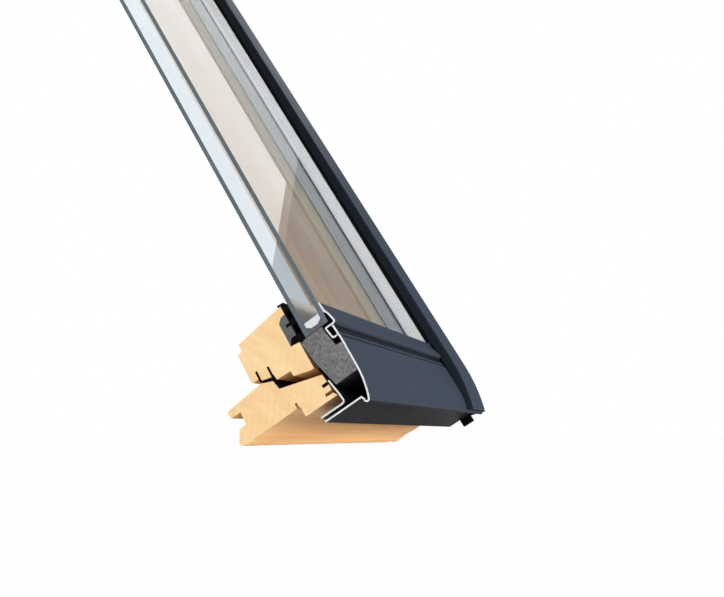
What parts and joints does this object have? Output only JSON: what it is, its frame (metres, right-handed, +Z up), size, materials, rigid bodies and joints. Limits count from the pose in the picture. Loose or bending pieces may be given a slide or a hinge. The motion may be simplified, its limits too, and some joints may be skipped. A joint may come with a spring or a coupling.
{
  "type": "cut-away roof window",
  "caption": "Pine roof window with double glazing and dark grey metal covers, cut through the middle to show its section; the sash is hinged at the top.",
  "frame": {"origin": "on the outer side face of the frame's right stile, midway between the two pilot holes of the lower fixing bracket", "axes": "+X out of that side face, along the roof; +Z up; the window leans back in +Y at the roof's pitch of 58.6 degrees"},
  "size_m": [0.39, 0.6123, 0.8878],
  "materials": {
    "pine": "satin",
    "cover": "satin",
    "glass": "gloss",
    "spacer": "satin",
    "sealant": "matte",
    "foam": "matte",
    "rubber": "matte",
    "steel": "satin"
  },
  "bodies": {
    "frame": {"frame_bottom_rail": "pine", "frame_right_stile": "pine", "frame_top_rail": "pine", "frame_bottom_cover": "cover", "frame_side_cover": "cover", "frame_top_cover": "cover", "cover_clip_bottom": "rubber", "cover_clip_side": "rubber", "corner_plug": "rubber", "top_gap_seal": "rubber", "hinge_frame_leaf": "steel", "hinge_pin": "steel", "hinge_frame_screws": "steel"},
    "sash": {"sash_bottom_rail": "pine", "sash_right_stile": "pine", "sash_top_rail": "pine", "inner_pane": "glass", "outer_pane": "glass", "spacer_bar": "spacer", "edge_sealant": "sealant", "gasket_carrier_bottom": "foam", "gasket_carrier_side": "foam", "gasket_carrier_top": "foam", "glazing_gasket_bottom": "rubber", "glazing_gasket_side": "rubber", "glazing_gasket_top": "rubber", "sash_seal_bottom": "rubber", "sash_seal_side": "rubber", "sash_seal_top": "rubber", "insulation_bottom": "foam", "insulation_side": "foam", "insulation_top": "foam", "bead_bottom": "cover", "bead_gasket_bottom": "rubber", "front_plate": "cover", "front_plate_end_cap": "rubber", "side_cover": "cover", "side_cover_gasket": "rubber", "top_cover": "cover", "top_cover_gasket": "rubber", "hinge_sash_leaf": "steel", "hinge_sash_screws": "steel"}
  },
  "joints": [
    {"name": "sash_hinge", "type": "hinge", "parent": "frame", "child": "sash", "pos_m": [-0.11, 0.33409, 0.73638], "axis": [-1, 0, 0], "range_deg": [0, 45]}
  ]
}
